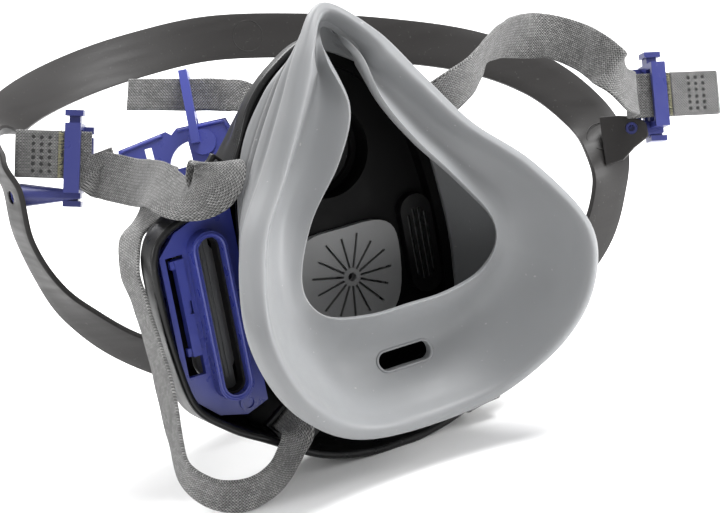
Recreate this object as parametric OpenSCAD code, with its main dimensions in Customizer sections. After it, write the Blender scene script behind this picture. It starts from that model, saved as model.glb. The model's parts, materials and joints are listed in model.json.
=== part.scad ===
// Half-mask respirator with a head cradle, knitted straps and twin filter ports.
// Frame: +Z from chin to nose, +Y the way the wearer faces, origin at the face opening.

/* [Face seal] */
// Thickness of the silicone
seal_t = 2; // [1.6:0.1:2.4]
// How far the flap dips between its rim and the opening
flap_dip = 4.6; // [0:0.2:6]
// Extra dip over the chin
chin_dip = 5; // [0:0.5:6]
// Depth of the folds beside the nose
fold_depth = 0.9; // [0:0.1:1.2]
// Length of the drain slot at the chin
drain_len = 16.6; // [12:0.2:18]
// Height of the drain slot at the chin
drain_h = 5.4; // [3:0.2:6]

/* [Inner frame] */
// Depth of the frame's rim, in front of the seal
rim_depth = 5; // [4.5:0.1:5.2]
// Thickness of the frame's wall and plate
frame_t = 2.4; // [2:0.1:2.8]
// Radius of the exhalation valve's bore
exhale_r = 12.5; // [11:0.5:13]
// Radius of the speech diaphragm
voice_r = 14; // [12:0.5:14]
// Radius of the stud that holds the exhalation flap
stud_r = 1.25; // [1:0.05:1.5]

/* [Front cover] */
// Wall thickness of the cover
cover_t = 2.2; // [1.8:0.1:2.4]
// How far the front stands forward at the middle
front_y = 70; // [69:0.5:71]
// Radius of the check button's rounded ends
button_r = 6; // [5:0.5:6]
// Straight length of the check button
button_len = 30; // [24:1:32]

/* [Filter port] */
// Width of the port's slot
port_w = 7.5; // [6:0.5:8]
// Length of the port's slot
port_len = 47.5; // [44:0.5:48]
// Wall of the port's collar
collar_t = 1.8; // [1.4:0.1:2]
// How far the collar stands out of its plate
collar_h = 4.5; // [3:0.5:5]

/* [Straps] */
// Width of the upper strap
strap_w = 14.6; // [13:0.2:15]
// Width of the neck strap
neck_w = 10; // [9:0.2:10.4]
// Thickness of the knitted webbing
strap_t = 1.3; // [1:0.1:1.4]

/* [Head cradle] */
// Width of the cradle's band
cradle_w = 15; // [13:0.5:16]
// Thickness of the cradle's band
cradle_t = 1.8; // [1.4:0.1:2]
// Radius of the peg that joins a buckle to the cradle
peg_r = 2; // [1.6:0.1:2.2]

/* [Hidden] */
$fn = 48;

silicone = [0.66, 0.68, 0.70];
charcoal = [0.13, 0.13, 0.14];
blue = [0.25, 0.27, 0.65];
webbing = [0.45, 0.45, 0.44];
smoke = [0.34, 0.34, 0.35];

run_gap = 0.06;      // radial clearance of a running fit
free_gap = 0.4;      // clearance round a sliding piece

// ---- outlines, the half at +X from top to bottom, as [x, y, z] ----
rim_half = [[0, 33, 61], [12, 27, 51], [22, 23, 36], [33, 19, 19.5], [46, 10.5, 5],
    [54.5, -1, -14], [52, -2.5, -31], [42, 1.5, -46], [24, 10, -58.5], [0, 13, -62]];
mouth_half = [[0, 36, 54], [5.2, 25.5, 46], [5.4, 16.6, 33], [12.2, 14.5, 20], [23, 15, 6],
    [30.5, 12.3, -7], [30.5, 12.3, -16], [24, 13, -23], [12, 12, -25.5], [0, 11.5, -25.5]];
base_half = [[0, 45, 47.6], [12, 45, 42.4], [21.4, 45, 34], [28, 45, 23.5], [32, 45, 9],
    [34, 45, -9], [34, 45, -25], [31, 45, -42], [20, 45, -54], [0, 45, -58]];
cover_half = [[0, 46.6, 50.4], [13, 46.6, 44.8], [22.8, 46.6, 35.8], [29.3, 46.6, 23.7],
    [37, 46.8, 14], [54, 48.6, 7], [60, 49, 0], [61, 49, -12], [60.5, 48, -30], [58, 46, -46],
    [50, 42, -54.5], [41, 38.5, -60], [25, 38, -69.5], [10, 38, -73.4], [0, 38, -73.8]];
panel_half = [[0, 0, 38], [8, 0, 37], [14, 0, 33], [17, 0, 27], [19, 0, 20],
    [20, 0, 13], [20, 0, 5], [20, 0, -4], [20, 0, -14], [20, 0, -24],
    [19.5, 0, -33], [18, 0, -41], [13, 0, -47.5], [6, 0, -50.5], [0, 0, -51]];

frame_y = 45;                            // the seal meets the frame here
flange_y = 46.1;                         // front of the frame's flange
plate_y = frame_y + rim_depth;           // rear face of the frame's plate
plate_front_y = plate_y + frame_t;
panel_y = front_y - 3.5;                 // rear face of the front panel
voice_z = 16;
exhale_z = -22.3;
duct_t = 2.2;                            // wall of the frame's two ducts
port_x = 43.2;
port_z = -22.05;
port_y = 50;                             // rear face of the port plate
port_t = 2.2;
slot_r = port_w / 2;
slot_run = port_len - port_w;
window_x = 24;                         // side windows of the inner frame
window_z = -18;
window_run = 20;
flap_t = 0.8;

// Head side of each temple: where the peg is and how its tab is turned.
temple_at = [[-76, 114, 15], [126, 85, -11]];
temple_turn = [[0, 0, -90], [-18, 0, -36]];
buckle_at = [[-56.2, 109, 22.6], [136.6, 85.3, -2.8]];
buckle_turn = [[-13, 12, -28], [-16, 10, -13]];
clip_at = [-26, 101, 18];
clip_turn = [-13, -4, -24];

// ---- routes: [centre, direction across the band] ----
cradle_route = [
    [[-77.8, 116.4, 24.5], [0, -1, 0]], [[-75, 125, 33], [-0.2, -0.9, -0.3]],
    [[-60, 139, 38], [0, -0.6, -0.7]], [[-38, 149.5, 41], [0, -0.4, -0.9]],
    [[-12, 157, 42], [-0.1, -0.2, -1]], [[16, 160, 41], [-0.2, -0.1, -1]],
    [[47, 157, 35], [-0.3, -0.1, -1]], [[76, 150, 27], [-0.3, -0.2, -1]],
    [[100, 138, 18], [-0.5, -0.2, -0.8]], [[115, 122, 7], [-0.7, -0.1, -0.7]],
    [[120, 104, -5], [-0.8, 0.1, -0.5]], [[119, 92, -15], [-0.9, 0.2, 0]],
    [[116, 88, -28], [-0.8, -0.2, 0.4]], [[107, 89, -45], [-0.7, -0.3, 0.7]],
    [[88, 91, -58.5], [-0.5, -0.4, 0.8]], [[60, 94, -65.5], [-0.3, -0.6, 0.8]],
    [[28, 100, -67.4], [-0.1, -0.6, 0.8]], [[-2, 108, -64], [0, -0.6, 0.8]],
    [[-27, 114, -55], [0, -0.6, 0.8]], [[-48, 116, -42], [0, -0.7, 0.7]],
    [[-62, 115, -28], [0, -0.8, 0.6]], [[-71, 113, -14], [0, -0.9, 0.3]],
    [[-76, 113, 2], [0, -1, 0]], [[-76, 114, 17], [0, -1, 0]]
];
left_strap_route = [
    [[-40, 55, 16.4], [0.7, 0, 0.7]], [[-40, 48.4, 16.5], [0.7, 0, 0.7]],
    [[-40, 45.6, 17], [0.8, -0.1, 0.6]], [[-39.4, 43.8, 19.6], [0.9, -0.3, 0.1]],
    [[-38.4, 42.2, 22.2], [0.9, -0.4, 0]], [[-38, 39, 22.6], [0.9, -0.4, -0.2]],
    [[-39.6, 36.4, 20], [0.8, -0.5, -0.3]], [[-42.6, 35.2, 17.4], [0.6, -0.6, -0.6]],
    [[-46.2, 37.4, 16], [0, -0.6, -0.8]], [[-49.4, 44, 15], [-0.8, -0.2, -0.5]],
    [[-50, 54, 16.4], [-0.9, 0, -0.4]], [[-48.8, 64, 17], [-0.7, -0.1, -0.7]],
    [[-46.8, 76, 15.6], [-0.5, -0.3, -0.8]],
    [[-46, 90, 14.4], [-0.4, -0.5, -0.8]]
];
right_strap_route = [
    [[36.4, 60, 18.4], [0.6, 0, -0.8]], [[37.4, 54, 20], [0.6, 0, -0.8]],
    [[41, 48, 23], [0.5, 0.3, -0.8]], [[51, 50, 26], [0.2, 0.5, -0.9]],
    [[62, 59, 29], [0.1, 0.6, -0.8]], [[71, 68, 31], [0, 0.7, -0.7]],
    [[82, 79, 30], [-0.2, 0.4, -0.8]], [[92, 84, 28], [-0.5, 0, -0.8]],
    [[100, 83, 26], [-0.5, -0.2, -0.8]], [[106, 77, 22], [-0.4, -0.2, -0.9]],
    [[108, 69, 18], [-0.4, -0.2, -0.9]], [[110, 64, 13], [-0.4, -0.2, -0.9]],
    [[116, 68, 6], [-0.4, -0.4, -0.8]], [[124, 76, 2], [-0.3, -0.4, -0.9]]
];
left_neck_route = [
    [[-29.6, 51, -56.2], [-0.8, 0, -0.6]], [[-29.8, 46, -56.6], [-0.8, 0, -0.6]],
    [[-30.6, 38, -59], [-0.8, -0.3, -0.4]], [[-39, 32, -65.6], [-0.6, -0.3, 0.6]],
    [[-48, 27, -68.4], [-0.2, -0.2, 1]], [[-57, 26, -68.6], [0, -0.1, 1]],
    [[-64, 30, -66], [0, -0.2, 1]], [[-68, 36, -60], [0.1, -0.5, 0.9]],
    [[-66.5, 42, -50], [0.1, -0.8, 0.5]], [[-65, 46, -38], [0.2, -1, 0.2]],
    [[-64, 51, -26], [0.1, -1, 0.2]], [[-63.8, 55, -14], [0.1, -1, 0.2]],
    [[-63.4, 59.4, -5], [0.2, -1, 0.2]], [[-58.6, 66, 3], [0.3, -1, 0.1]],
    [[-51, 72, 5.6], [0.3, -0.9, 0]], [[-44, 80, 9], [0.3, -0.9, 0]],
    [[-38, 90, 13], [0.2, -0.9, -0.2]], [[-33, 97, 16], [0, -0.8, -0.5]]
];
right_neck_route = [
    [[29.6, 51, -56.2], [0.8, 0, -0.6]], [[29.8, 46, -56.6], [0.8, 0, -0.6]],
    [[29.6, 38.4, -59.4], [0.8, 0, -0.5]], [[30, 35, -66.4], [0.9, 0, -0.2]],
    [[30.5, 40, -69.4], [1, 0, 0.3]], [[30.5, 54, -70.4], [1, 0, 0.3]],
    [[30.5, 68, -69.6], [1, 0, 0.2]], [[30, 79, -62], [1, 0, 0.1]],
    [[27, 84, -47], [0.9, 0.1, 0.3]], [[21.5, 85, -26], [0.9, 0.1, 0.4]],
    [[14, 85, -6], [0.8, 0.2, 0.6]], [[8, 87, 12], [0.6, 0.2, 0.8]],
    [[3, 88.6, 22], [0.5, 0.2, 0.8]], [[-4.4, 91.6, 30.4], [0.3, 0.3, 0.9]]
];
tail_route = [
    [[-7.6, 94, 31.6], [0.3, 0.3, 0.9]], [[-13, 98.2, 33], [0.1, 0.2, 1]],
    [[-18, 101, 33.9], [0.1, 0.2, 1]], [[-25, 105, 35.4], [0.1, 0.3, 0.9]],
    [[-34, 112, 37], [0.2, 0.4, 0.9]]
];

// ---- functions ----
function unit(v) = v / norm(v);
function mirrored(half) = concat(half,
    [for (i = [len(half) - 2:-1:1]) [-half[i][0], half[i][1], half[i][2]]]);
function eased(a, b, c, d, t) =
    (2 * b + (c - a) * t + (2 * a - 5 * b + 4 * c - d) * t * t
    + (3 * b - a - 3 * c + d) * t * t * t) / 2;
function smooth_loop(p, n) = let (m = len(p)) [for (i = [0:m - 1], k = [0:n - 1])
    eased(p[(i + m - 1) % m], p[i], p[(i + 1) % m], p[(i + 2) % m], k / n)];
function smooth_path(p, n) = let (m = len(p) - 1) concat(
    [for (i = [0:m - 1], k = [0:n - 1])
        eased(p[max(i - 1, 0)], p[i], p[i + 1], p[min(i + 2, m)], k / n)],
    [p[m]]);
function flat(loop) = [for (p = loop) [p[0], p[2]]];
function inset(p, d) = let (n = len(p)) [for (i = [0:n - 1])
    let (t = p[(i + 1) % n] - p[(i + n - 1) % n]) p[i] + d * [t[1], -t[0]] / norm(t)];
function mix(a, b, t) = a * (1 - t) + b * t;
// Rows of a surface moved by d along its normal.
function thicken(rows, d) = let (m = len(rows) - 1, n = len(rows[0])) [for (i = [0:m])
    [for (j = [0:n - 1]) let (
        along = rows[min(i + 1, m)][j] - rows[max(i - 1, 0)][j],
        round = rows[i][(j + 1) % n] - rows[i][(j + n - 1) % n])
        rows[i][j] + d * unit(cross(along, round))]];
function turn(a, p) = let (
    x = [p[0], p[1] * cos(a[0]) - p[2] * sin(a[0]), p[1] * sin(a[0]) + p[2] * cos(a[0])],
    y = [x[0] * cos(a[1]) + x[2] * sin(a[1]), x[1], x[2] * cos(a[1]) - x[0] * sin(a[1])])
    [y[0] * cos(a[2]) - y[1] * sin(a[2]), y[0] * sin(a[2]) + y[1] * cos(a[2]), y[2]];
// A point of the left (0) or right (1) buckle, from its own frame to the part's.
function on_buckle(i, p) = buckle_at[i] + turn(buckle_turn[i], [i == 0 ? -p[0] : p[0], p[1], p[2]]);

rim_loop = smooth_loop(mirrored(rim_half), 3);
mouth_loop = smooth_loop(mirrored(mouth_half), 3);
base_loop = smooth_loop(mirrored(base_half), 3);
cover_loop = smooth_loop(mirrored(cover_half), 2);
panel_loop = smooth_loop(mirrored(panel_half), 2);
flange_outline = inset(flat(base_loop), -0.8);
frame_outline = inset(flat(base_loop), 2.2);

// ---- shared shapes ----
// A closed skin whose rows run round the part; the last row joins the first.
module ring_skin(rows) {
    m = len(rows);
    n = len(rows[0]);
    faces = [for (i = [0:m - 1], j = [0:n - 1]) let (
        a = i * n + j, b = i * n + (j + 1) % n,
        c = (i + 1) % m * n + (j + 1) % n, d = (i + 1) % m * n + j)
        each [[a, c, b], [a, d, c]]];
    polyhedron([for (r = rows) each r], faces);
}
// A flat band along a route of [centre, direction across].
module band(route, w, t, closed = false, steps = 2) {
    c = closed ? smooth_loop([for (s = route) s[0]], steps)
        : smooth_path([for (s = route) s[0]], steps);
    a = closed ? smooth_loop([for (s = route) s[1]], steps)
        : smooth_path([for (s = route) s[1]], steps);
    n = len(c);
    rings = [for (i = [0:n - 1]) let (
        run = unit(closed ? c[(i + 1) % n] - c[(i + n - 1) % n]
            : c[min(i + 1, n - 1)] - c[max(i - 1, 0)]),
        across = unit(a[i] - (a[i] * run) * run) * w / 2,
        up = cross(run, unit(across)) * t / 2)
        [c[i] + across + up, c[i] - across + up, c[i] - across - up, c[i] + across - up]];
    last = closed ? n - 1 : n - 2;
    sides = [for (i = [0:last], k = [0:3]) let (
        p = i * 4 + k, q = i * 4 + (k + 1) % 4,
        r = (i + 1) % n * 4 + (k + 1) % 4, s = (i + 1) % n * 4 + k)
        each [[p, r, q], [p, s, r]]];
    ends = closed ? [] : [[0, 1, 2, 3], [for (k = [3:-1:0]) (n - 1) * 4 + k]];
    polyhedron([for (r = rings) each r], concat(sides, ends));
}
// A plate drawn in the XZ plane that fills y0 to y1.
module plate(y0, y1) {
    translate([0, y1, 0]) rotate([90, 0, 0]) linear_extrude(y1 - y0) children();
}
module disc(r, y0, y1, x = 0, z = 0) {
    translate([x, y1, z]) rotate([90, 0, 0]) cylinder(r = r, h = y1 - y0);
}
module pipe(r_out, r_in, y0, y1, x = 0, z = 0) {
    difference() {
        disc(r_out, y0, y1, x, z);
        disc(r_in, y0 - 1, y1 + 1, x, z);
    }
}
module stadium(r, run, x = 0, z = 0) {
    translate([x, z]) {
        square([2 * r, run], center = true);
        for (s = [-1, 1]) translate([0, s * run / 2]) circle(r);
    }
}
module on_side(s) {
    if (s < 0) mirror([1, 0, 0]) children();
    else children();
}
module at_buckle(i) {
    translate(buckle_at[i]) rotate(buckle_turn[i]) on_side(i == 0 ? -1 : 1) children();
}

// ---- face seal ----
// Direction from the opening to the rim, in the XZ plane.
function outward(j) = let (d = rim_loop[j] - mouth_loop[j]) unit([d[0], 0, d[2]]);
// The roll shrinks where the seal is shallow and the flap narrow, beside the nose.
function roll(j) = min(max((frame_y - rim_loop[j][1]) * 0.3, 3.5), 8);
function fold_share(j) = min(max((rim_loop[j][2] + 2) / 20, 0), 1);
function seal_point(row, j) = let (
    o = mouth_loop[j], c = rim_loop[j], e = outward(j), h = roll(j),
    k = min(1, (c - o) * e * 0.09),
    crease = c - e * 8 * k + [0, h * 0.2, 0],
    foot = c - e * h * 0.4 + [0, h * 1.3, 0],
    dip = (flap_dip + chin_dip * min(max((-30 - c[2]) / 25, 0), 1)) * k * k,
    share = (row - 9) / 7)
    row == 0 ? o
    : row < 4 ? mix(o, crease, row / 4) + [0, dip * sin(row * 45), 0]
    : row == 4 ? crease
    : row == 5 ? c - e * 4.4 * k + [0, -h * 0.5, 0]
    : row == 6 ? c - e * 1.4 * k + [0, -h * 0.35, 0]
    : row == 7 ? c
    : row == 8 ? c + [0, h * 0.5, 0]
    : mix(foot, base_loop[j], share)
        + (row % 2 == 0 ? 1 : -1) * fold_depth * fold_share(j) * (row > 9 && row < 16 ? 1 : 0) * e;
module face_seal() {
    n = len(rim_loop);
    outer = [for (row = [0:16]) [for (j = [0:n - 1]) seal_point(row, j)]];
    shifted = thicken(outer, seal_t);
    inner = [for (row = [16:-1:0]) [for (j = [0:n - 1])
        row == 16 ? [shifted[row][j][0], frame_y, shifted[row][j][2]] : shifted[row][j]]];
    color(silicone) difference() {
        ring_skin(concat(outer, inner));
        plate(10, 36) rotate(90) stadium(drain_h / 2, drain_len - drain_h, -42.5, 0);
    }
}

// ---- inner frame and what it holds ----
module inner_frame() {
    duct_y = plate_front_y - 0.5;
    color(charcoal) difference() {
        union() {
            plate(frame_y, flange_y) polygon(flange_outline);
            plate(frame_y, plate_front_y) polygon(frame_outline);
            disc(voice_r + duct_t, duct_y, panel_y, 0, voice_z);
            disc(exhale_r + duct_t, duct_y, panel_y, 0, exhale_z);
        }
        plate(frame_y - 1, plate_y) polygon(inset(frame_outline, frame_t));
        disc(voice_r, plate_y - 1, panel_y + 1, 0, voice_z);
        disc(exhale_r, plate_y - 1, panel_y + 1, 0, exhale_z);
        for (s = [-1, 1]) plate(plate_y - 1, plate_front_y + 1)
            stadium(3.6, window_run, s * window_x, window_z);
    }
}
guard_half = [[0, 0, -7.2], [10, 0, -7.4], [15.5, 0, -10], [17, 0, -16], [15.6, 0, -28],
    [12, 0, -35], [6, 0, -37.6], [0, 0, -38]];
module valve_guard() {
    outline = flat(smooth_loop(mirrored(guard_half), 3));
    slots = 15;
    color(smoke) difference() {
        plate(47.6, plate_y) polygon(outline);
        plate(49, plate_y + 1) polygon(inset(outline, 1.6));
        disc(1.3, 47, 51, 0, exhale_z);
        for (i = [0:slots - 1]) translate([0, 48, exhale_z]) rotate([0, i * 360 / slots, 0])
            translate([2.8, -2, -0.35]) cube([i % 2 == 0 ? 10.4 : 9.4, 4, 0.7]);
    }
}
module exhalation_seat() {
    color(smoke) difference() {
        union() {
            pipe(exhale_r, exhale_r - 1.3, plate_y, 53, 0, exhale_z);
            for (a = [45, 135]) translate([0, 51.6, exhale_z]) rotate([0, a, 0])
                cube([2 * exhale_r - 1.6, 2, 1.6], center = true);
            disc(2.6, 50.4, 53, 0, exhale_z);
        }
        disc(stud_r, 49, 54, 0, exhale_z);
    }
}
module flap_stud() {
    color(charcoal) {
        disc(stud_r, 50.4, 57, 0, exhale_z);
        disc(2.6, 57, 58.2, 0, exhale_z);
    }
}
module exhalation_flap() {
    color(silicone) pipe(exhale_r - 0.5, stud_r + run_gap, 53.05, 53.05 + flap_t, 0, exhale_z);
}
module voice_gasket() {
    color(charcoal) pipe(voice_r, voice_r - 1.6, 58, 60, 0, voice_z);
}
module voice_diaphragm() {
    color(smoke) disc(voice_r, 60, 60.4, 0, voice_z);
}
module voice_clamp() {
    color(charcoal) pipe(voice_r, voice_r - 1.6, 60.4, 62.4, 0, voice_z);
}
module inhale_grille(s) {
    color(charcoal) on_side(s) difference() {
        plate(46.6, plate_y) stadium(5.1, window_run, window_x, window_z);
        plate(47.8, plate_y + 1) stadium(4.3, window_run, window_x, window_z);
        for (x = [-2.7, -0.9, 0.9, 2.7]) plate(46, 48)
            stadium(0.45, window_run - 2 + (abs(x) < 1 ? 3 : 0), window_x + x, window_z);
    }
}
module inhale_flap(s) {
    y = plate_y - 0.1 - flap_t;
    color(silicone) on_side(s) plate(y, y + flap_t)
        stadium(4.2, window_run - 0.4, window_x, window_z);
}

// ---- front cover ----
function cover_point(row, j) = let (
    high = min(max((cover_loop[j][2] - 20) / 20, 0), 1),
    share = mix([0, 0, 0, 0.05, 0.15, 0.4, 0.7, 1][row],
        [0, 0.1, 0.6, 0.7, 0.78, 0.86, 0.93, 1][row], high),
    depth = [0, 6, 57, 60.5, 62.6, 65, 68, front_y][row],
    p = mix(cover_loop[j], panel_loop[j], share))
    [p[0], row == 0 ? cover_loop[j][1] : row == 1 ? cover_loop[j][1] + depth : depth, p[2]];
strap_lug_at = [[40, 48.4, 16.5], [37.4, 54, 20]];
strap_lug_turn = [45, 53];
// A webbing slot in a plate that reaches back to the cover's wall.
module strap_lug(w, reach) {
    translate([-w / 2 - 1.4, -1.3, -reach]) difference() {
        cube([w + 2.8, 2.6, reach + 2.8]);
        translate([0.9, -1, reach - 1.3]) cube([w + 1, 5, 2.6]);
    }
}
module front_cover() {
    outer = [for (row = [0:7]) [for (j = [0:len(cover_loop) - 1]) cover_point(row, j)]];
    shifted = thicken(outer, cover_t);
    inner = [for (row = [7:-1:0]) shifted[row]];
    color(charcoal) {
        difference() {
            ring_skin(concat(outer, inner));
            for (s = [-1, 1]) plate(56, 76)
                stadium(button_r + free_gap, button_len, s * port_x, port_z);
        }
        for (s = [-1, 1]) on_side(s) {
            translate(strap_lug_at[s < 0 ? 0 : 1]) rotate([0, strap_lug_turn[s < 0 ? 0 : 1], 0])
                strap_lug(strap_w, 5);
            translate([29.8, 47.6, -56.4]) rotate([0, 34, 0]) strap_lug(neck_w, 12);
        }
    }
}
module front_panel() {
    outline = inset(flat(panel_loop), 1.2);
    color(charcoal) difference() {
        plate(panel_y, front_y + 0.6) polygon(outline);
        disc(voice_r, panel_y - 1, front_y + 2, 0, voice_z);
        disc(exhale_r, panel_y - 1, front_y + 2, 0, exhale_z);
    }
}
module voice_grille() {
    color(charcoal) difference() {
        disc(voice_r, panel_y + 1, front_y + 1.2, 0, voice_z);
        disc(voice_r - 1.5, panel_y, front_y, 0, voice_z);
        for (i = [-3:3]) translate([0, front_y, voice_z + i * 3])
            cube([2 * sqrt(pow(voice_r - 3, 2) - pow(i * 3, 2)), 6, 1.3], center = true);
    }
}
module exhalation_cover() {
    r = exhale_r + 3;
    color(charcoal) difference() {
        disc(r, front_y + 0.6, front_y + 3.6, 0, exhale_z);
        disc(r - 2, front_y, front_y + 2.2, 0, exhale_z);
        for (i = [-2:2]) translate([0, front_y + 2, exhale_z + i * 4.6])
            cube([2 * sqrt(pow(r - 4, 2) - pow(i * 4.6, 2)), 6, 1.8], center = true);
    }
}

// ---- filter ports ----
port_outline = [[33, 9], [41, 8.6], [51.5, 4.6], [57.4, -1.5], [57.4, -38], [55, -45.5],
    [48.6, -51.4], [40, -53.6], [33, -51]];
module port_plate(s) {
    color(blue) on_side(s) difference() {
        union() {
            plate(port_y, port_y + port_t) difference() {
                polygon(port_outline);
                polygon(inset(frame_outline, -0.4));
                translate([50.3, -38]) square([5.4, 36]);
            }
            plate(port_y - collar_h, port_y) stadium(slot_r + collar_t, slot_run, port_x, port_z);
            pipe(2.6, 1.8, port_y - 0.6, port_y, 39.4, -50);
        }
        plate(port_y - collar_h - 1, port_y + port_t + 1) stadium(slot_r, slot_run, port_x, port_z);
    }
}
module port_gasket(s) {
    color(charcoal) on_side(s) plate(port_y - 2, port_y + port_t) difference() {
        stadium(slot_r, slot_run, port_x, port_z);
        stadium(slot_r - 0.7, slot_run, port_x, port_z);
    }
}
module latch(s) {
    color(blue) on_side(s) {
        difference() {
            translate([50.6, 49, -32]) cube([2.8, 3.2, 29]);
            translate([50, 48, -19.5]) cube([1.6, 2.4, 4]);
        }
        for (z = [-31.8, -5.6]) translate([53.4, 49.8, z]) cube([1.2, 1.6, 2.4]);
    }
}
button_back_y = 57;
carrier_end = 27.8;                      // half the length of the button's carrier
module check_button(s) {
    color(charcoal) on_side(s) difference() {
        union() {
            plate(button_back_y, button_back_y + 2) stadium(4, 2 * carrier_end - 8, port_x, port_z);
            plate(button_back_y + 2, 67.4) stadium(button_r, button_len, port_x, port_z);
        }
        plate(66.8, 68) stadium(button_r - 1.4, button_len, port_x, port_z);
    }
}
spring_z = [3.9, -48];
module button_spring(s) {
    color("silver") on_side(s) for (z = spring_z)
        pipe(1.7, 1.1, port_y + port_t, button_back_y, port_x, z);
}

// ---- head cradle, straps and buckles ----
module at_temple(i) {
    translate(temple_at[i]) rotate(temple_turn[i]) children();
}
// The right temple's arm, from the band to its blunt end past the peg hole.
temple_arm = [[-10, 5.2], [-4, 4.8], [0, 4], [4.2, 1.8], [5, 0.8], [5.2, -3], [4.6, -3.8],
    [0, -6.6], [-4, -10], [-10, -11]];
module head_cradle() {
    bore_r = peg_r + run_gap;
    color(smoke) difference() {
        union() {
            band(cradle_route, cradle_w, cradle_t, closed = true);
            at_temple(0) disc(5.2, -0.8, 1);
            at_temple(1) plate(-0.9, 0.9) polygon(temple_arm);
        }
        for (i = [0, 1]) at_temple(i) disc(bore_r, -3, 3);
    }
}
buckle_x = 2.4;                          // half the buckle's thickness
buckle_y = 6.4;                          // half its depth
buckle_z = 10.6;                         // half its height
strap_slot_y = -2.8;                     // the strap passes here
lever_x = -4;
lever_y = 4.8;
lever_z = 6.4;
module buckle(i) {
    color(blue) {
        at_buckle(i) {
            difference() {
                translate([-buckle_x, -buckle_y, -buckle_z])
                    cube([2 * buckle_x, 2 * buckle_y, 2 * buckle_z]);
                for (y = [-4.8, 1.2]) translate([-5, y, -8.6]) cube([10, y < 0 ? 4 : 3, 17.2]);
            }
            for (z = [-9.8, 7.6]) translate([-5.2, 3.4, z]) cube([3.2, 2.8, 2.2]);
            translate([lever_x, lever_y, -8]) cylinder(r = 0.7, h = 16);
            for (z = [-1, 1]) scale([1, 1, z]) {
                translate([-1.4, 0.4, buckle_z - 0.2]) cube([3.4, 4.6, 3]);
                translate([-2.4, -0.6, buckle_z + 2.4]) cube([5.6, 5.4, 1.8]);
            }
        }
        hull() {
            translate(on_buckle(i, [0, 2, -11])) rotate(buckle_turn[i]) cube([4.4, 5, 2.4], center = true);
            at_temple(i) disc(3.6, 1.2, 2.8);
        }
        at_temple(i) pipe(peg_r, peg_r - 0.9, -0.3, 2);
    }
}
module buckle_lever(i) {
    color(blue) at_buckle(i) difference() {
        union() {
            translate([lever_x, lever_y, -lever_z]) cylinder(r = 1.4, h = 2 * lever_z);
            translate([lever_x - 0.8, -0.4, -lever_z]) cube([1.6, lever_y + 0.4, 2 * lever_z]);
            translate([lever_x - 1.6, -0.4, -lever_z]) cube([1, 1.6, 2 * lever_z]);
        }
        translate([lever_x, lever_y, -9]) cylinder(r = 0.7 + run_gap, h = 18);
    }
}
// The strap's hemmed end, folded back on itself, with its stub through the buckle.
tab_z = [0.9, 0];                        // the hem sits higher in the left buckle
tab_end = [17.4, 21];
module strap_tab(i) {
    color(webbing) at_buckle(i) {
        translate([-5.4, strap_slot_y - strap_t / 2, tab_z[i] - strap_w / 2])
            cube([tab_end[i] + 5.4, strap_t, strap_w]);
        translate([5, strap_slot_y - strap_t * 1.5, tab_z[i] - strap_w / 2])
            cube([tab_end[i] - 5, strap_t + 0.05, strap_w]);
    }
}
strap_end_x = [-8, -8.4];
strap_z = [-5, 0];                       // and the strap lower
module upper_strap(i) {
    across = turn(buckle_turn[i], [0, 0, -1]);
    tail = [for (x = [strap_end_x[i] - 2, strap_end_x[i]])
        [on_buckle(i, [x, strap_slot_y, strap_z[i]]), across]];
    color(webbing) band(concat(i == 0 ? left_strap_route : right_strap_route, tail),
        strap_w, strap_t);
}
module neck_strap(i) {
    color(webbing) band(i == 0 ? left_neck_route : right_neck_route, neck_w, strap_t);
}
module neck_tail() {
    color(webbing) band(tail_route, neck_w, strap_t);
}

// ---- neck clip ----
module at_clip() {
    translate(clip_at) rotate(clip_turn) children();
}
clip_pin = [8.6, 0.6];                   // the hook's pivot on the socket plate, x and z
clip_pin_r = 3.1;
hook_tilt = 4;
socket_outline = [[-18.5, -1], [-17.5, 4.6], [-2, 6.6], [-0.5, 5.2], [1.5, 6.8], [17, 6.2],
    [18.5, 1], [14, -4.4], [6, -8], [-3, -9.2], [-6.5, -5], [-15, -4]];
module neck_clip_socket() {
    color(blue) at_clip() difference() {
        plate(-1, 1) polygon(socket_outline);
        translate([-9.6, -2, -2.6]) cube([2.2, 4, 5.6]);
        plate(-2, 2) intersection() {
            translate([4.6, -6]) circle(8);
            translate([-4, -5.4]) square([8, 8]);
        }
        disc(clip_pin_r + run_gap, -2, 2, clip_pin[0], clip_pin[1]);
    }
}
module neck_clip_hook() {
    color(blue) at_clip() translate([clip_pin[0], 0, clip_pin[1]]) rotate([0, hook_tilt, 0]) {
        disc(clip_pin_r, -2.4, 2.4);
        for (y = [-3.4, 1.3]) disc(clip_pin_r + 0.8, y, y + 2.1);
        translate([-3.4, 0, 0]) {
            for (y = [-6.4, 3.2]) translate([0, y, 0]) cube([2.6, 3.2, 8]);
            difference() {
                translate([0, -6.4, 7.6]) cube([2.6, 12.8, 15]);
                translate([-1, -1.4, 9.6]) cube([6, 2.8, 11]);
            }
        }
    }
}

face_seal();
inner_frame();
valve_guard();
exhalation_seat();
flap_stud();
exhalation_flap();
exhalation_cover();
voice_gasket();
voice_diaphragm();
voice_clamp();
voice_grille();
front_cover();
front_panel();
inhale_grille(-1);  // inhale_grille_left
inhale_grille(1);  // inhale_grille_right
inhale_flap(-1);  // inhale_flap_left
inhale_flap(1);  // inhale_flap_right
port_plate(-1);  // port_plate_left
port_plate(1);  // port_plate_right
port_gasket(-1);  // port_gasket_left
port_gasket(1);  // port_gasket_right
latch(-1);  // latch_left
latch(1);  // latch_right
check_button(-1);  // check_button_left
check_button(1);  // check_button_right
button_spring(-1);  // button_spring_left
button_spring(1);  // button_spring_right
head_cradle();
upper_strap(0);  // upper_strap_left
upper_strap(1);  // upper_strap_right
strap_tab(0);  // strap_tab_left
strap_tab(1);  // strap_tab_right
buckle(0);  // buckle_left
buckle(1);  // buckle_right
buckle_lever(0);  // buckle_lever_left
buckle_lever(1);  // buckle_lever_right
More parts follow.
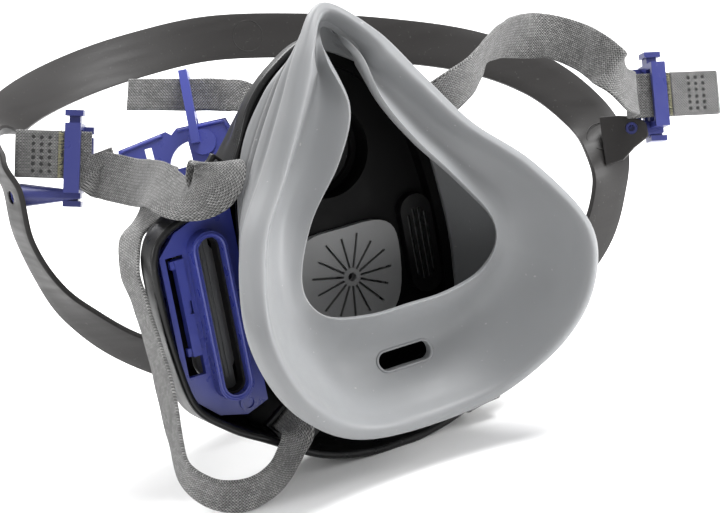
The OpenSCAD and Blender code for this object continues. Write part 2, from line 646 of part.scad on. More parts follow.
neck_strap(0);  // neck_strap_left
neck_strap(1);  // neck_strap_right
neck_clip_socket();
neck_clip_hook();
neck_tail();
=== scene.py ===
"""Looks of a half-mask respirator: silicone seal, moulded cover, knitted straps and head cradle."""

import json
import math
import random

import bmesh
import bpy
import numpy as np
from mathutils import Euler, Matrix, Vector


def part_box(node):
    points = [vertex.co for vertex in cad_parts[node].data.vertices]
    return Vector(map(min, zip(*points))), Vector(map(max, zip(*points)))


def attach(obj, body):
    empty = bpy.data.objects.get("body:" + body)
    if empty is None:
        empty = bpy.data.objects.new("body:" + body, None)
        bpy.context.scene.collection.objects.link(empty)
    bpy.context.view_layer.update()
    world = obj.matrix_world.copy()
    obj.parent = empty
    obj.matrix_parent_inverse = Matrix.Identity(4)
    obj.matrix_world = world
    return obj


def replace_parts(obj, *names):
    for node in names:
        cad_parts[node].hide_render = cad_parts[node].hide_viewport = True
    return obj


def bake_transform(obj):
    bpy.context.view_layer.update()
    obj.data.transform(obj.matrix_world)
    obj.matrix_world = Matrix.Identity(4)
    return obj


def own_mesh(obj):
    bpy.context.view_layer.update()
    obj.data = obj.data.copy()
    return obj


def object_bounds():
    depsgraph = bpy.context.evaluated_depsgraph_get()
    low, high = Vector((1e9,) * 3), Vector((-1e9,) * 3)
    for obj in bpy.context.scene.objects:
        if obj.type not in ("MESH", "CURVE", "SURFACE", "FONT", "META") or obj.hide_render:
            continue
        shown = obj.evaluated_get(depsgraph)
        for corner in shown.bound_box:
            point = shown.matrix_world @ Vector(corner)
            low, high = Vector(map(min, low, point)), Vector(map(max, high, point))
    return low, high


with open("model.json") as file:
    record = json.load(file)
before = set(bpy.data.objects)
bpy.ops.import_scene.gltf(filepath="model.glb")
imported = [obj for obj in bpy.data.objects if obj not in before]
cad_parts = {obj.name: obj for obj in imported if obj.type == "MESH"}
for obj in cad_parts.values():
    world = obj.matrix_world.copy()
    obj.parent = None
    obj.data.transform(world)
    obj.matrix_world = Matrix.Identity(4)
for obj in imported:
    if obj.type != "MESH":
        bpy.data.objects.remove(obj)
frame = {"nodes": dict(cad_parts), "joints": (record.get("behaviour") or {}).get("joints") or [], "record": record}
cad_low, cad_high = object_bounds()
record = frame["record"]
SIDES = ("left", "right")
nodes = frame["nodes"]
joints = {j["name"]: j for j in frame["joints"]}
random.seed(7)
MM = 0.001
WEAVE_UV = "weave"


# ---- curves and outlines, in millimetres ----
def eased(a, b, c, d, t):
    """A point between b and c on a smooth curve through four points."""
    return (2 * b + (c - a) * t + (2 * a - 5 * b + 4 * c - d) * t * t + (3 * b - a - 3 * c + d) * t**3) / 2


def smooth_loop(points, steps):
    p, m = np.array(points, float), len(points)
    return np.array([eased(p[i - 1], p[i], p[(i + 1) % m], p[(i + 2) % m], k / steps)
                     for i in range(m) for k in range(steps)])


def smooth_path(points, steps):
    p, m = np.array(points, float), len(points) - 1
    out = [eased(p[max(i - 1, 0)], p[i], p[i + 1], p[min(i + 2, m)], k / steps)
           for i in range(m) for k in range(steps)]
    return np.array(out + [p[m]])


def mirrored(half):
    """A whole outline from its half at +X, which starts and ends in the middle."""
    return half + [[-x, y, z] for x, y, z in half[-2:0:-1]]


def unit(v):
    return v / np.linalg.norm(v)


def stadium(radius, run, centre=(0, 0), across=False, parts=14):
    """Outline of a slot with round ends, in X and Z."""
    points = []
    for end in (1, -1):
        for i in range(parts + 1):
            a = math.pi * i / parts + (0 if end > 0 else math.pi)
            points.append((radius * math.cos(a), radius * math.sin(a) + end * run / 2))
    if across:
        points = [(-z, x) for x, z in points]
    return [(x + centre[0], z + centre[1]) for x, z in points]


def circle(radius, centre=(0, 0), parts=48):
    return [(centre[0] + radius * math.cos(2 * math.pi * i / parts),
             centre[1] + radius * math.sin(2 * math.pi * i / parts)) for i in range(parts)]


def dense(points, gap=1.0, closed=True):
    """The same line with no step longer than gap."""
    out = []
    for i, p in enumerate(points if closed else points[:-1]):
        q = np.array(points[(i + 1) % len(points)], float)
        p = np.array(p, float)
        count = max(1, int(np.linalg.norm(q - p) / gap))
        out += [p + (q - p) * k / count for k in range(count)]
    return out


def clamp(v, low=0.0, high=1.0):
    return max(low, min(high, v))


def turned(degrees):
    """A rotation by angles about X, Y and Z."""
    return Euler([math.radians(a) for a in degrees]).to_matrix().to_4x4()


def shifted(point):
    """A move by a distance in millimetres."""
    return Matrix.Translation(Vector(point) * MM)


# ---- mesh helpers ----
def add_mesh(name, points, faces, uv=None):
    mesh = bpy.data.meshes.new(name)
    mesh.from_pydata([tuple(float(v) * MM for v in p) for p in points], [], faces)
    mesh.polygons.foreach_set("use_smooth", [True] * len(mesh.polygons))
    if uv is not None:
        layer = mesh.uv_layers.new(name=WEAVE_UV)
        for loop in mesh.loops:
            layer.data[loop.index].uv = uv[loop.vertex_index]
    mesh.update()
    obj = bpy.data.objects.new(name, mesh)
    bpy.context.scene.collection.objects.link(obj)
    return obj


def grid_faces(rows, cols, close_rows, close_cols):
    """Four-sided faces between the points of a grid, stored row by row."""
    faces = []
    for i in range(rows if close_rows else rows - 1):
        for j in range(cols if close_cols else cols - 1):
            a, b = i * cols + j, i * cols + (j + 1) % cols
            c, d = (i + 1) % rows * cols + (j + 1) % cols, (i + 1) % rows * cols + j
            faces.append((a, b, c, d))
    return faces


def outward_faces(obj):
    bm = bmesh.new()
    bm.from_mesh(obj.data)
    bmesh.ops.recalc_face_normals(bm, faces=bm.faces)
    bm.to_mesh(obj.data)
    bm.free()
    return obj


def prism(name, outline, y0, y1):
    """An outline in X and Z that fills y0 to y1."""
    n = len(outline)
    points = [(x, y, z) for y in (y0, y1) for x, z in outline]
    faces = [tuple(range(n)), tuple(range(2 * n - 1, n - 1, -1))]
    faces += [(i, i + n, (i + 1) % n + n, (i + 1) % n) for i in range(n)]
    obj = outward_faces(add_mesh(name, points, faces))
    obj.data.polygons.foreach_set("use_smooth", [False] * len(obj.data.polygons))
    return obj


def block(name, low, high):
    (x0, y0, z0), (x1, y1, z1) = low, high
    return prism(name, [(x0, z0), (x1, z0), (x1, z1), (x0, z1)], y0, y1)


def bake(obj):
    """Turns the object's modifiers into its mesh."""
    bpy.context.view_layer.update()
    graph = bpy.context.evaluated_depsgraph_get()
    mesh = bpy.data.meshes.new_from_object(obj.evaluated_get(graph))
    obj.modifiers.clear()
    obj.data = mesh
    return obj


def cut(obj, cutters):
    for c in cutters:
        m = obj.modifiers.new("cut", "BOOLEAN")
        m.operation, m.object, m.solver = "DIFFERENCE", c, "EXACT"
    bake(obj)
    for c in cutters:
        bpy.data.objects.remove(c)
    return obj


def join(name, pieces):
    """One object from several, each with its own modifiers baked in."""
    points, faces, smooth = [], [], []
    for p in pieces:
        bake(p)
        start = len(points)
        points += [tuple(p.matrix_world @ v.co / MM) for v in p.data.vertices]
        faces += [tuple(start + v for v in f.vertices) for f in p.data.polygons]
        smooth += [f.use_smooth for f in p.data.polygons]
        bpy.data.objects.remove(p)
    obj = add_mesh(name, points, faces)
    obj.data.polygons.foreach_set("use_smooth", smooth)
    return obj


def soften(obj, width=0.3, segments=2, angle=40):
    """Rounds the sharp edges of a moulded piece. The width is in millimetres."""
    m = obj.modifiers.new("soften", "BEVEL")
    m.width, m.segments = width * MM, segments
    m.limit_method, m.angle_limit = "ANGLE", math.radians(angle)
    m.harden_normals = True
    m.use_clamp_overlap = True
    return obj


def tube(name, path, radius, closed=False, sides=10):
    """A round wire along a path of close points, in millimetres."""
    path = np.array(path, float)
    n = len(path)
    side = None
    points = []
    for i in range(n):
        before = path[i - 1] if i or closed else path[0]
        after = path[(i + 1) % n] if i < n - 1 or closed else path[-1]
        run = unit(after - before)
        if side is None:
            side = unit(np.cross(run, [0.31, 0.95, 0.05]))
        side = unit(side - run * (side @ run))
        up = np.cross(run, side)
        for k in range(sides):
            a = 2 * math.pi * k / sides
            points.append(path[i] + radius * (math.cos(a) * side + math.sin(a) * up))
    faces = grid_faces(n, sides, closed, True)
    if not closed:
        faces += [tuple(range(sides)), tuple(range(n * sides - 1, (n - 1) * sides - 1, -1))]
    return outward_faces(add_mesh(name, points, faces))


# ---- materials ----
class Shader:
    """A principled material with a few shorthand calls for its nodes."""

    def __init__(self, name, color, rough, metallic=0.0, level=0.5):
        self.material = bpy.data.materials.new(name)
        self.material.use_nodes = True
        self.tree = self.material.node_tree
        self.bsdf = next(n for n in self.tree.nodes if n.type == "BSDF_PRINCIPLED")
        self.bsdf.inputs["Base Color"].default_value = (*color, 1)
        self.bsdf.inputs["Roughness"].default_value = rough
        self.bsdf.inputs["Metallic"].default_value = metallic
        self.bsdf.inputs["Specular IOR Level"].default_value = level
        self.color = color

    def node(self, kind, **values):
        n = self.tree.nodes.new(kind)
        for key, value in values.items():
            setattr(n, key, value)
        return n

    def link(self, source, target):
        self.tree.links.new(source, target)

    def place(self):
        """The point on the surface, in the shared frame."""
        return self.node("ShaderNodeTexCoord").outputs["Object"]

    def noise(self, scale, detail=3.0, place=None):
        n = self.node("ShaderNodeTexNoise")
        n.inputs["Scale"].default_value = scale
        n.inputs["Detail"].default_value = detail
        self.link(place or self.place(), n.inputs["Vector"])
        return n.outputs["Fac"]

    def math(self, operation, a, b=None):
        n = self.node("ShaderNodeMath", operation=operation)
        for socket, value in zip(n.inputs, (a, b)):
            if isinstance(value, (int, float)):
                socket.default_value = value
            elif value is not None:
                self.link(value, socket)
        return n.outputs[0]

    def spread(self, value, low, high, at=(0.0, 1.0)):
        """The value mapped from the range at to low and high."""
        n = self.node("ShaderNodeMapRange")
        self.link(value, n.inputs["Value"])
        n.inputs["From Min"].default_value, n.inputs["From Max"].default_value = at
        n.inputs["To Min"].default_value, n.inputs["To Max"].default_value = low, high
        return n.outputs["Result"]

    def blend(self, share, first, second):
        """A mix of two colours, each a tuple or a socket."""
        n = self.node("ShaderNodeMix", data_type="RGBA")
        self.link(share, n.inputs["Factor"])
        for socket, value in ((n.inputs["A"], first), (n.inputs["B"], second)):
            if isinstance(value, tuple):
                socket.default_value = (*value, 1)
            else:
                self.link(value, socket)
        return n.outputs["Result"]

    def tint(self, value, low, high):
        """The base colour, made darker and lighter by a value from 0 to 1."""
        shade = self.blend(value, tuple(c * low for c in self.color), tuple(c * high for c in self.color))
        self.link(shade, self.bsdf.inputs["Base Color"])
        return shade

    def rough(self, value, low, high):
        self.link(self.spread(value, low, high, (0.3, 0.7)), self.bsdf.inputs["Roughness"])

    def bump(self, height, depth, strength=1.0, under=None):
        """Depth is in millimetres."""
        n = self.node("ShaderNodeBump")
        n.inputs["Distance"].default_value = depth * MM
        n.inputs["Strength"].default_value = strength
        self.link(height, n.inputs["Height"])
        if under is not None:
            self.link(under, n.inputs["Normal"])
        self.link(n.outputs["Normal"], self.bsdf.inputs["Normal"])
        return n.outputs["Normal"]


def moulded(name, color, rough, grain, depth, spots=0.0, level=0.5):
    """Moulded plastic: fine grain, faint flow marks, uneven gloss and a little dust."""
    s = Shader(name, color, rough, level=level)
    flow = s.noise(38, 4)
    s.rough(s.noise(130, 5), rough - 0.07, rough + 0.09)
    shade = s.tint(flow, 0.88, 1.12)
    wave = s.bump(flow, 0.10, 0.25)
    s.bump(s.noise(grain, 2), depth, 0.6, wave)
    if spots:
        dust = s.spread(s.noise(900, 1), 0.0, spots, (0.70, 0.78))
        s.link(s.blend(dust, shade, (0.5, 0.49, 0.47)), s.bsdf.inputs["Base Color"])
    return s


def silicone():
    """Matt silicone that lets a little light in, with soft clouds and fine dust."""
    s = Shader("silicone_matt", (0.198, 0.203, 0.209), 0.44, level=0.4)
    cloud = s.noise(22, 4)
    shade = s.tint(cloud, 0.95, 1.05)
    s.rough(s.noise(160, 4), 0.42, 0.54)
    s.bsdf.inputs["Subsurface Weight"].default_value = 0.22
    s.bsdf.inputs["Subsurface Radius"].default_value = (0.004, 0.0036, 0.0032)
    s.bsdf.inputs["Subsurface Scale"].default_value = 0.6
    s.bsdf.inputs["Sheen Weight"].default_value = 0.12
    s.bsdf.inputs["Sheen Roughness"].default_value = 0.5
    dust = s.spread(s.noise(650, 1), 0.0, 0.22, (0.76, 0.82))
    s.link(s.blend(dust, shade, (0.62, 0.61, 0.58)), s.bsdf.inputs["Base Color"])
    soft = s.bump(cloud, 0.12, 0.3)
    s.bump(s.noise(2600, 2), 0.02, 0.5, soft)
    return s.material


COLUMN_GAP = 0.94   # knitted webbing: one column of stitches, in millimetres
ROW_GAP = 0.86      # one stitch along the webbing


def knit(name, lighting_tone):
    """Knitted webbing: columns of V stitches in mixed grey yarn, with painted shade in the gaps between the
    stitches. The tone scales its brightness, as painted shade on the upper straps and painted light on the neck
    straps.
    """
    s = Shader(name, (0.20, 0.20, 0.20), 0.92, level=0.15)
    uv = s.node("ShaderNodeUVMap", uv_map=WEAVE_UV).outputs["UV"]
    split = s.node("ShaderNodeSeparateXYZ")
    s.link(uv, split.inputs[0])
    along, across = split.outputs["X"], split.outputs["Y"]
    column = s.math("MULTIPLY", across, 1 / COLUMN_GAP)
    inside = s.math("SUBTRACT", s.math("FRACT", column), 0.5)
    lean = s.math("MULTIPLY", s.math("ABSOLUTE", inside), 1.9)
    row = s.math("ADD", s.math("MULTIPLY", along, 1 / ROW_GAP), lean)
    stitch = s.math("ABSOLUTE", s.math("SUBTRACT", s.math("FRACT", row), 0.5))
    stitch = s.math("SUBTRACT", 1.0, s.math("MULTIPLY", stitch, 2.0))
    edge = s.math("POWER", s.math("MULTIPLY", s.math("ABSOLUTE", inside), 2.0), 4.0)
    valley = s.math("SUBTRACT", 1.0, s.math("MULTIPLY", edge, 0.5))
    height = s.math("MULTIPLY", stitch, valley)
    cell = s.node("ShaderNodeCombineXYZ")
    s.link(s.math("FLOOR", row), cell.inputs["X"])
    s.link(s.math("FLOOR", column), cell.inputs["Y"])
    yarn = s.node("ShaderNodeTexWhiteNoise", noise_dimensions="3D")
    s.link(cell.outputs[0], yarn.inputs["Vector"])
    fibre = s.noise(5200, 2)
    mixed = s.math("ADD", s.math("MULTIPLY", yarn.outputs["Value"], 0.55),
                   s.math("MULTIPLY", fibre, 0.45))
    light = s.blend(mixed, (0.11, 0.11, 0.108), (0.52, 0.515, 0.505))
    # painted shade: the low parts of each stitch, in the gaps between stitches and along the column edges, are
    # blended towards near-black
    deep = s.blend(s.spread(height, 0.0, 1.0, (0.16, 0.74)), (0.010, 0.010, 0.010), light)
    # random patches, scaled by the tone that paints shade on the upper straps and light on the neck straps
    patch = s.spread(s.noise(45, 3), 0.82 * lighting_tone, 1.14 * lighting_tone)
    patches_and_painted_tone = s.node("ShaderNodeMix", data_type="RGBA", blend_type="MULTIPLY")
    patches_and_painted_tone.inputs["Factor"].default_value = 1.0
    s.link(deep, patches_and_painted_tone.inputs["A"])
    grey = s.node("ShaderNodeCombineColor")
    for socket in grey.inputs:
        s.link(patch, socket)
    s.link(grey.outputs[0], patches_and_painted_tone.inputs["B"])
    s.link(patches_and_painted_tone.outputs["Result"], s.bsdf.inputs["Base Color"])
    s.bsdf.inputs["Sheen Weight"].default_value = 0.35
    s.bsdf.inputs["Sheen Roughness"].default_value = 0.6
    s.bump(fibre, 0.05, 0.5, s.bump(height, 0.34, 0.9))
    return s.material


def yarn_end():
    """The paler core yarn that shows where webbing is cut."""
    s = Shader("webbing_raw_edge", (0.42, 0.40, 0.25), 0.95, level=0.1)
    s.tint(s.noise(3200, 3), 0.5, 1.35)
    s.bump(s.noise(4200, 3), 0.25, 1.0)
    s.bsdf.inputs["Sheen Weight"].default_value = 0.4
    return s.material


def steel():
    s = Shader("spring_steel", (0.62, 0.61, 0.60), 0.28, metallic=1.0)
    s.rough(s.noise(900, 3), 0.2, 0.42)
    s.tint(s.noise(300, 2), 0.85, 1.05)
    return s.material


def cradle_plastic():
    """Satin plastic with faint streaks along the band."""
    s = moulded("cradle_satin", (0.021, 0.0195, 0.019), 0.46, 1500, 0.02, 0.05, 0.3)
    streak = s.node("ShaderNodeMapping")
    streak.inputs["Scale"].default_value = (30, 30, 420)
    s.link(s.place(), streak.inputs["Vector"])
    lines = s.noise(1.0, 4, place=streak.outputs[0])
    s.rough(lines, 0.38, 0.52)
    return s.material


# one finish for each material slot of the record
FINISH = {
    "silicone": silicone(),
    "clear_silicone": moulded("flap_silicone", (0.42, 0.43, 0.44), 0.3, 900, 0.01).material,
    "black_rubber": moulded("rubber_black", (0.006, 0.006, 0.006), 0.62, 1600, 0.03,
                            level=0.3).material,
    "black_plastic": moulded("plastic_black", (0.0045, 0.0045, 0.0048), 0.32, 2200, 0.03,
                             0.03, 0.38).material,
    "cradle_plastic": cradle_plastic(),
    "grey_plastic": moulded("plastic_grey", (0.27, 0.272, 0.274), 0.5, 1800, 0.02, 0.03).material,
    "blue_plastic": moulded("plastic_blue", (0.040, 0.052, 0.285), 0.30, 1300, 0.015, 0.04, 0.6).material,
    # the upper straps' webbing, darkened as painted shade
    "webbing": knit("webbing_knit", 0.76),
    "diaphragm_film": moulded("film_dark", (0.03, 0.03, 0.03), 0.2, 400, 0.01).material,
    "spring_steel": steel(),
}

# finishes of single pieces that differ from their slot's
RAW_EDGE = yarn_end()
# the same webbing for the neck straps and the tail, brightened as painted light
NECK_KNIT_PAINTED_LIGHT = knit("webbing_knit_neck_painted_light", 1.16)
BUCKLE_BLUE = moulded("plastic_blue_buckle", (0.030, 0.036, 0.170), 0.34, 1300, 0.015,
                      0.04, 0.5).material
CLIP_BLUE = moulded("plastic_blue_clip", (0.068, 0.082, 0.380), 0.30, 1300, 0.015,
                    0.04, 0.6).material
# a darker copy of the black plastic, as painted shade, for the frame, the voice-port parts and the front panel
INNER_PAINTED_SHADE = moulded("plastic_black_satin_painted_shade", (0.0016, 0.0016, 0.0018), 0.5, 1500, 0.03,
                      0.0, 0.14).material
PAD_GREY = moulded("plastic_pad_grey", (0.17, 0.173, 0.18), 0.55, 1700, 0.03, 0.05).material
PIT_DARK = moulded("webbing_weld", (0.018, 0.018, 0.018), 0.7, 1500, 0.05).material


def finish(obj, slot_name, body, material=None):
    """Gives a piece its material and slot, and the body it rides on."""
    obj.data.materials.clear()
    obj.data.materials.append(material or FINISH[slot_name])
    if body:
        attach(obj, body)
    return obj


# ---- outlines of the moulded shells, halves at +X from top to bottom ----
RIM = mirrored([[0, 33, 61], [12, 27, 51], [22, 23, 36], [33, 19, 19.5], [46, 10.5, 5],
                [54.5, -1, -14], [52, -2.5, -31], [42, 1.5, -46], [24, 10, -58.5], [0, 13, -62]])
MOUTH = mirrored([[0, 36, 54], [5.2, 25.5, 46], [5.4, 16.6, 33], [12.2, 14.5, 20], [23, 15, 6],
                  [30.5, 12.3, -7], [30.5, 12.3, -16], [24, 13, -23], [12, 12, -25.5], [0, 11.5, -25.5]])
BASE = mirrored([[0, 45, 47.6], [12, 45, 42.4], [21.4, 45, 34], [28, 45, 23.5], [32, 45, 9],
                 [34, 45, -9], [34, 45, -25], [31, 45, -42], [20, 45, -54], [0, 45, -58]])
COVER = mirrored([[0, 46.6, 50.4], [13, 46.6, 44.8], [22.8, 46.6, 35.8], [29.3, 46.6, 23.7],
                  [37, 46.8, 14], [54, 48.6, 7], [60, 49, 0], [61, 49, -12], [60.5, 48, -30], [58, 46, -46],
                  [50, 42, -54.5], [41, 38.5, -60], [25, 38, -69.5], [10, 38, -73.4], [0, 38, -73.8]])
PANEL = mirrored([[0, 0, 38], [8, 0, 37], [14, 0, 33], [17, 0, 27], [19, 0, 20],
                  [20, 0, 13], [20, 0, 5], [20, 0, -4], [20, 0, -14], [20, 0, -24],
                  [19.5, 0, -33], [18, 0, -41], [13, 0, -47.5], [6, 0, -50.5], [0, 0, -51]])
SEAL_T = 2.0             # wall of the silicone
COVER_T = 2.2            # wall of the cover
FLAP_SPANS = 9           # spans of the seal's column from the lip to the wall's foot
WALL_SPANS = 7           # spans of the wall from its foot to the frame
FOLDS = ((0.47, 0.030, 2.6), (0.62, 0.030, 2.4))            # place, width and depth
SWELLS = ((0.24, 0.16, 0.9), (0.545, 0.04, 0.7), (0.82, 0.13, 1.2))
DRAIN_AT = (0, -42.5)    # centre of the drain slot in X and Z
FRAME_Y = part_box("inner_frame")[0].y / MM
FRONT_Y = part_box("front_cover")[1].y / MM


def normals_of(rows, close):
    """Unit normals of a grid whose columns run round the part."""
    along = np.gradient(rows, axis=0)
    if close:
        along = (np.roll(rows, -1, 0) - np.roll(rows, 1, 0)) / 2
    around = (np.roll(rows, -1, 1) - np.roll(rows, 1, 1)) / 2
    n = np.cross(along, around)
    return n / np.maximum(np.linalg.norm(n, axis=2, keepdims=True), 1e-9)


def seal_column(o, c, base):
    """Control points of the seal from its inner lip, over the roll, down to the frame."""
    e = unit(np.array([c[0] - o[0], 0, c[2] - o[2]]))
    h = clamp((FRAME_Y - c[1]) * 0.3, 3.5, 8)
    up = np.array([0, 1.0, 0])
    k = min(1.0, (c - o) @ e * 0.09)
    crease = c - e * 8 * k + up * h * (0.2 + 0.8 * (1 - k))
    foot = c - e * h * 0.4 + up * h * 1.3
    dip = (4.6 + 5 * clamp((-30 - c[2]) / 25)) * clamp((k - 0.6) / 0.4)
    flap = [o * (1 - r / 4) + crease * r / 4 + up * dip * math.sin(math.radians(45 * r)) for r in range(4)]
    roll = [crease, c - e * 4.4 * k - up * h * 0.5, c - e * 1.4 * k - up * h * 0.35, c, c + up * h * 0.5]
    wall = [foot * (1 - i / WALL_SPANS) + base * i / WALL_SPANS for i in range(WALL_SPANS + 1)]
    return np.array(flap + roll + wall), e


def gauss(share, at, width):
    return math.exp(-(((share - at) / width) ** 2))


def face_seal():
    """The seal: flap, roll and wall as one skin of two faces, with a drain slot at the chin."""
    steps, fine = 9, 8
    rim, mouth, base = (smooth_loop(p, steps) for p in (RIM, MOUTH, BASE))
    columns, ways = zip(*(seal_column(*p) for p in zip(mouth, rim, base)))
    outer = np.array([smooth_path(c, fine) for c in columns]).transpose(1, 0, 2)
    rows, cols = outer.shape[:2]
    for i in range(rows):
        share = (i / fine - FLAP_SPANS) / WALL_SPANS
        for j in range(cols):
            # deep folds beside the nose, fading out towards the cheeks
            high = clamp((rim[j][2] + 8) / 26) * clamp((58 - rim[j][2]) / 14)
            groove = sum(depth * gauss(share, at, width) for at, width, depth in FOLDS)
            swell = sum(height * gauss(share, at, width) for at, width, height in SWELLS)
            outer[i, j] += ways[j] * high * (swell - groove)
    inward = normals_of(outer, False)
    if (inward[rows - 3, 0] @ ways[0]) > 0:
        inward = -inward
    # the lip's edge thins to a round over its first six rows
    thick = np.array([SEAL_T * math.sqrt(clamp(1 - (1 - clamp(i / 6)) ** 2)) + 0.12 for i in range(rows)])
    inner = outer + inward * np.minimum(thick, SEAL_T)[:, None, None]
    inner[-1, :, 1] = outer[-1, :, 1]
    grid = np.concatenate([outer, inner[::-1]])
    obj = add_mesh("seal_skin", grid.reshape(-1, 3), grid_faces(len(grid), cols, True, True))
    outward_faces(obj)
    slot_outline = stadium(2.7, 11.2, DRAIN_AT, across=True)
    cut(obj, [prism("slot_cutter", slot_outline, 6, 38)])
    lip = tube("drain_lip", slot_ring(obj, slot_outline), 0.42, closed=True)
    piece = join("seal_skin", [obj, lip])
    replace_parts(finish(piece, "silicone", "root"), "face_seal")


def slot_ring(obj, outline):
    """The outline laid on the rear face of a mesh, as closely spaced points."""
    ring = []
    bpy.context.view_layer.update()
    for x, z in outline:
        rise = z - DRAIN_AT[1]
        start = Vector((x * 1.10, -40, z + rise * 0.16)) * MM
        hit, where, _, _ = obj.ray_cast(start, Vector((0, 1, 0)))
        if hit:
            ring.append(np.array([x * 1.06, where.y / MM + 0.1, z + rise * 0.10]))
    return ring


def front_cover():
    """The cover: a shell from its rear edge to the front panel, with its strap lugs."""
    steps, fine = 8, 5
    # how far each control row has gone from the outline to the panel, low down and at the top
    loop, panel = smooth_loop(COVER, steps), smooth_loop(PANEL, steps)
    low = [0, 0, 0, 0.05, 0.15, 0.4, 0.7, 1]
    top = [0, 0.1, 0.6, 0.7, 0.78, 0.86, 0.93, 1]
    depth = [0, 6, 57, 60.5, 62.6, 65, 68, FRONT_Y]
    control = np.zeros((len(depth), len(loop), 3))
    for j, (c, p) in enumerate(zip(loop, panel)):
        high = clamp((c[2] - 20) / 20)
        for i in range(len(depth)):
            share = low[i] * (1 - high) + top[i] * high
            q = c * (1 - share) + p * share
            control[i, j] = [q[0], c[1] + depth[i] if i < 2 else depth[i], q[2]]
    outer = np.array([smooth_path(control[:, j], fine) for j in range(len(loop))]).transpose(1, 0, 2)
    outer[:, :, 1] = np.minimum(outer[:, :, 1], FRONT_Y)
    inward = normals_of(outer, False)
    if inward[len(outer) // 3, 0][2] > 0:
        inward = -inward
    inner = outer + inward * COVER_T
    grid = np.concatenate([outer, inner[::-1]])
    shell = outward_faces(add_mesh("cover_shell", grid.reshape(-1, 3),
                                   grid_faces(len(grid), len(loop), True, True)))
    cutters = []
    for side in SIDES:
        low_c, high_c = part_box(f"check_button_{side}")
        centre = ((low_c.x + high_c.x) / 2 / MM, (low_c.z + high_c.z) / 2 / MM)
        cutters.append(prism("button_cutter", stadium(6.4, 30, centre), 54, 80))
    cut(shell, cutters)
    rear = outer[0] * 0.5 + inner[0] * 0.5
    bead = tube("cover_bead", rear + np.array([0, 0.1, 0]), COVER_T / 2 + 0.12, closed=True)
    lugs = [strap_lug(side, 10, 12, (29.8, 47.6, -56.4), 34) for side in (-1, 1)]
    lugs += [strap_lug(-1, 14.6, 5, (40, 48.4, 16.5), 45), strap_lug(1, 14.6, 5, (37.4, 54, 20), 53)]
    piece = join("cover_shell", [shell, bead] + lugs)
    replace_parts(finish(piece, "black_plastic", "root"), "front_cover")


def strap_lug(side, width, reach, centre, turn):
    """A webbing slot in a plate that reaches back to the cover's wall."""
    half = width / 2
    obj = block("lug", (-half - 1.4, -1.3, -reach), (half + 1.4, 1.3, 2.8))
    cut(obj, [block("lug_slot", (-half - 0.5, -5, -1.3), (half + 0.5, 5, 1.3))])
    obj.matrix_world = Matrix.Diagonal((side, 1, 1, 1)) @ shifted(centre) @ turned((0, turn, 0))
    piece = join("lug", [soften(obj, 0.5, 3)])
    return outward_faces(piece)


# ---- bands ----
def band(name, route, width, thick, closed=False, steps=10, edge=None, wave=0.0, lanes=6):
    """A flat band with round edges along a route of [centre, direction across]."""
    smooth = smooth_loop if closed else smooth_path
    centre = smooth([r[0] for r in route], steps)
    across = smooth([r[1] for r in route], steps)
    n = len(centre)
    edge = thick / 2 if edge is None else edge
    section = band_section(width, thick, edge, lanes)
    points, uv = [], []
    length = 0.0
    for i in range(n):
        if closed:
            run = unit(centre[(i + 1) % n] - centre[i - 1])
        else:
            run = unit(centre[min(i + 1, n - 1)] - centre[max(i - 1, 0)])
        side = unit(across[i] - (across[i] @ run) * run)
        up = np.cross(run, side)
        length += np.linalg.norm(centre[i] - centre[i - 1]) if i else 0
        for a, b in section:
            ripple = wave * (math.sin(length * 0.55 + a * 0.2) + math.sin(length * 0.23 + a * 0.5 + 1)) * 0.5
            points.append(centre[i] + side * a + up * (b + ripple))
            uv.append((length, a + (0.4 if b < 0 else 0)))
    m = len(section)
    faces = grid_faces(n, m, closed, True)
    if not closed:
        faces += [tuple(range(m)), tuple(range(n * m - 1, (n - 1) * m - 1, -1))]
    return outward_faces(add_mesh(name, points, faces, uv))


def band_section(width, thick, edge, lanes):
    """Half-round or bevelled ends joined by straight lanes, as (across, up)."""
    half, t = width / 2, thick / 2
    turns = 4
    points = []
    for sx, sy in ((1, 1), (-1, 1), (-1, -1), (1, -1)):
        corner = [(half - edge + edge * math.cos(math.pi / 2 * k / turns),
                   t - edge + edge * math.sin(math.pi / 2 * k / turns)) for k in range(turns + 1)]
        if sx != sy:
            corner.reverse()
        points += [(sx * x, sy * y) for x, y in corner]
        if sx == sy:
            reach = half - edge
            points += [(sx * reach * (1 - 2 * k / lanes), sy * t) for k in range(1, lanes)]
    return [p for i, p in enumerate(points) if i == 0 or math.dist(p, points[i - 1]) > 1e-6]


# each point of a route is [centre, direction across the band]
CRADLE = [
    [[-77.8, 116.4, 24.5], [0, -1, 0]], [[-75, 125, 33], [-0.2, -0.9, -0.3]],
    [[-60, 139, 38], [0, -0.6, -0.7]], [[-38, 149.5, 41], [0, -0.4, -0.9]],
    [[-12, 157, 42], [-0.1, -0.2, -1]], [[16, 160, 41], [-0.2, -0.1, -1]],
    [[47, 157, 35], [-0.3, -0.1, -1]], [[76, 150, 27], [-0.3, -0.2, -1]],
    [[100, 138, 18], [-0.5, -0.2, -0.8]], [[115, 122, 7], [-0.7, -0.1, -0.7]],
    [[120, 104, -5], [-0.8, 0.1, -0.5]], [[119, 92, -15], [-0.9, 0.2, 0]],
    [[116, 88, -28], [-0.8, -0.2, 0.4]], [[107, 89, -45], [-0.7, -0.3, 0.7]],
    [[88, 91, -58.5], [-0.5, -0.4, 0.8]], [[60, 94, -65.5], [-0.3, -0.6, 0.8]],
    [[28, 100, -67.4], [-0.1, -0.6, 0.8]], [[-2, 108, -64], [0, -0.6, 0.8]],
    [[-27, 114, -55], [0, -0.6, 0.8]], [[-48, 116, -42], [0, -0.7, 0.7]],
    [[-62, 115, -28], [0, -0.8, 0.6]], [[-71, 113, -14], [0, -0.9, 0.3]],
    [[-76, 113, 2], [0, -1, 0]], [[-76, 114, 17], [0, -1, 0]],
]
